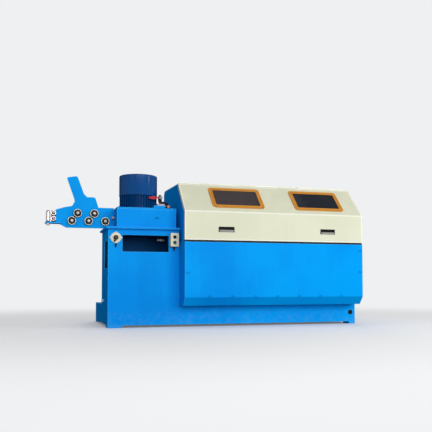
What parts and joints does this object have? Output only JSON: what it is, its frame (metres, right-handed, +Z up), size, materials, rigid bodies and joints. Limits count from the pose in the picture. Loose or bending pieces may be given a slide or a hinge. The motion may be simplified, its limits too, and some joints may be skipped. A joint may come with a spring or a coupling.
{
  "type": "wire drawing machine",
  "caption": "Wire drawing machine with a roller straightening arm, a feed gearbox with an upright motor, and a long tank under a hinged cover with viewing windows.",
  "frame": {"origin": "middle of the rectangle of the four threaded foot holes, on the floor", "axes": "+X along the machine from the wire inlet to the outlet, +Y from the operator's side to the back, +Z up"},
  "size_m": [2.775, 1.228, 1.314],
  "materials": {
    "blue_paint": "gloss enamel",
    "cream_paint": "satin enamel",
    "motor_paint": "gloss enamel",
    "machined_steel": "machined",
    "dark_steel": "blackened",
    "aluminium": "milled",
    "valve_brass": "nickel plated",
    "red_sleeve": "dipped",
    "black_plastic": "moulded",
    "gasket_rubber": "satin",
    "dark_glass": "tinted",
    "cream_plastic": "moulded"
  },
  "bodies": {
    "base": {"foot_pads": "blue_paint", "plinth": "blue_paint", "front_panel": "blue_paint", "left_panel": "blue_paint", "cabinet_back": "blue_paint", "table": "blue_paint", "drive_coupling": "machined_steel", "gearbox": "blue_paint", "motor_body": "motor_paint", "motor_cowl": "motor_paint", "terminal_box": "motor_paint", "valve_block": "aluminium", "ball_valve": "valve_brass", "hose_elbow": "black_plastic", "wire_guides": "machined_steel", "arm_plate": "blue_paint", "roller_pins": "machined_steel", "guide_bracket": "dark_steel", "switch_plate": "cream_plastic", "button_box": "cream_plastic", "tank": "blue_paint", "hood_ends": "blue_paint", "hood_roof": "cream_paint", "block_wall": "blue_paint", "drawing_blocks": "machined_steel", "drive_casing": "blue_paint"},
    "cover": {"cover": "cream_paint", "window_gaskets": "gasket_rubber", "window_panes": "dark_glass", "pull_handles": "machined_steel"},
    "valve_lever": {"valve_lever": "red_sleeve"},
    "slider_left": {"slider_left": "machined_steel"},
    "slider_right": {"slider_right": "machined_steel"},
    "roller_lower_left": {"roller_lower_left": "machined_steel"},
    "roller_lower_middle": {"roller_lower_middle": "machined_steel"},
    "roller_lower_right": {"roller_lower_right": "machined_steel"},
    "roller_upper_left": {"roller_upper_left": "machined_steel"},
    "roller_upper_right": {"roller_upper_right": "machined_steel"},
    "upright_roller_front": {"upright_roller_front": "machined_steel"},
    "upright_roller_back": {"upright_roller_back": "machined_steel"},
    "flat_roller_top": {"flat_roller_top": "machined_steel"},
    "flat_roller_bottom": {"flat_roller_bottom": "machined_steel"},
    "switch_knob": {"switch_knob": "black_plastic"},
    "button_upper": {"button_upper": "black_plastic"},
    "button_lower": {"button_lower": "black_plastic"}
  },
  "joints": [
    {"name": "cover_hinge", "type": "hinge", "parent": "base", "child": "cover", "pos_m": [0.273, -0.448, 1.246], "axis": [-1, 0, 0], "range_deg": [0, 75]},
    {"name": "valve_turn", "type": "hinge", "parent": "base", "child": "valve_lever", "pos_m": [-0.693, -0.432, 1.11], "axis": [0, 1, 0], "range_deg": [0, 90]},
    {"name": "switch_turn", "type": "hinge", "parent": "base", "child": "switch_knob", "pos_m": [-1.087, -0.53, 0.752], "axis": [0, 1, 0], "range_deg": [0, 90]},
    {"name": "slot_left", "type": "slide", "parent": "base", "child": "slider_left", "axis": [0.594, 0, 0.8044], "range_m": [0, 0.012]},
    {"name": "slot_right", "type": "slide", "parent": "base", "child": "slider_right", "axis": [0.594, 0, 0.8044], "range_m": [0, 0.012]},
    {"name": "lower_left_spin", "type": "hinge", "parent": "base", "child": "roller_lower_left", "pos_m": [-1.436, -0.327, 0.9015], "axis": [0, 1, 0], "continuous": true},
    {"name": "lower_middle_spin", "type": "hinge", "parent": "base", "child": "roller_lower_middle", "pos_m": [-1.296, -0.327, 0.9015], "axis": [0, 1, 0], "continuous": true},
    {"name": "lower_right_spin", "type": "hinge", "parent": "base", "child": "roller_lower_right", "pos_m": [-1.156, -0.327, 0.9015], "axis": [0, 1, 0], "continuous": true},
    {"name": "upper_left_spin", "type": "hinge", "parent": "slider_left", "child": "roller_upper_left", "pos_m": [-1.388, -0.327, 0.9665], "axis": [0, 1, 0], "continuous": true},
    {"name": "upper_right_spin", "type": "hinge", "parent": "slider_right", "child": "roller_upper_right", "pos_m": [-1.248, -0.327, 0.9665], "axis": [0, 1, 0], "continuous": true},
    {"name": "upright_front_spin", "type": "hinge", "parent": "base", "child": "upright_roller_front", "pos_m": [-1.631, -0.3485, 0.93], "axis": [0, 0, 1], "continuous": true},
    {"name": "upright_back_spin", "type": "hinge", "parent": "base", "child": "upright_roller_back", "pos_m": [-1.631, -0.3055, 0.93], "axis": [0, 0, 1], "continuous": true},
    {"name": "flat_top_spin", "type": "hinge", "parent": "base", "child": "flat_roller_top", "pos_m": [-1.586, -0.327, 0.9625], "axis": [0, 1, 0], "continuous": true},
    {"name": "flat_bottom_spin", "type": "hinge", "parent": "base", "child": "flat_roller_bottom", "pos_m": [-1.586, -0.327, 0.9155], "axis": [0, 1, 0], "continuous": true},
    {"name": "button_upper_press", "type": "slide", "parent": "base", "child": "button_upper", "axis": [0, 1, 0], "range_m": [0, 0.004], "stiffness_N_per_m": 600, "springref_m": -0.002},
    {"name": "button_lower_press", "type": "slide", "parent": "base", "child": "button_lower", "axis": [0, 1, 0], "range_m": [0, 0.004], "stiffness_N_per_m": 600, "springref_m": -0.002}
  ]
}
